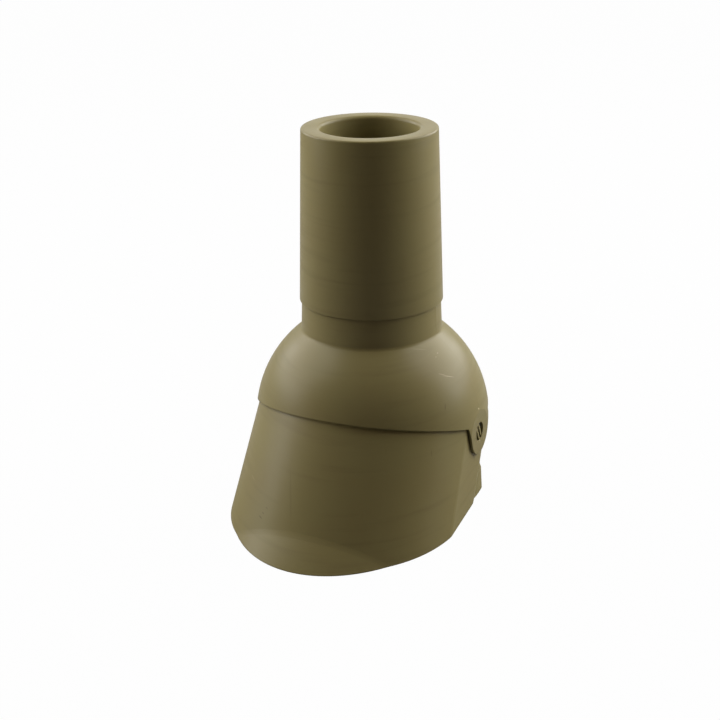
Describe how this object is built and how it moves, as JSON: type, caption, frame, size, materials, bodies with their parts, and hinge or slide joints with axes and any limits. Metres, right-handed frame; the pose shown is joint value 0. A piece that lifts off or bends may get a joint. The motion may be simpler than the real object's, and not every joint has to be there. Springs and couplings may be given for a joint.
{
  "type": "pipe boot",
  "caption": "Roof boot for a vent pipe: a dome collar tilts on a flared skirt to suit the roof pitch, and a tapered cap slips over the collar's neck.",
  "frame": {"origin": "centre of the bounding box, on the plane of the skirt's rim where it lies on the roof", "axes": "+Z square to the roof, -Y down the slope where the long lip points, X across the roof along the pivot axis"},
  "size_m": [0.1794, 0.2358, 0.2836],
  "materials": {
    "olive_pvc": "satin moulded"
  },
  "bodies": {
    "skirt": {"skirt": "olive_pvc"},
    "dome_collar": {"dome_collar": "olive_pvc"},
    "vent_cap": {"vent_cap": "olive_pvc"}
  },
  "joints": [
    {"name": "dome_tilt", "type": "hinge", "parent": "skirt", "child": "dome_collar", "pos_m": [0, 0.02963, 0.055], "axis": [-1, 0, 0], "range_deg": [0, 37]},
    {"name": "cap_slide", "type": "slide", "parent": "dome_collar", "child": "vent_cap", "axis": [0, 0.0785, 0.9969], "range_m": [0, 0.12]}
  ]
}
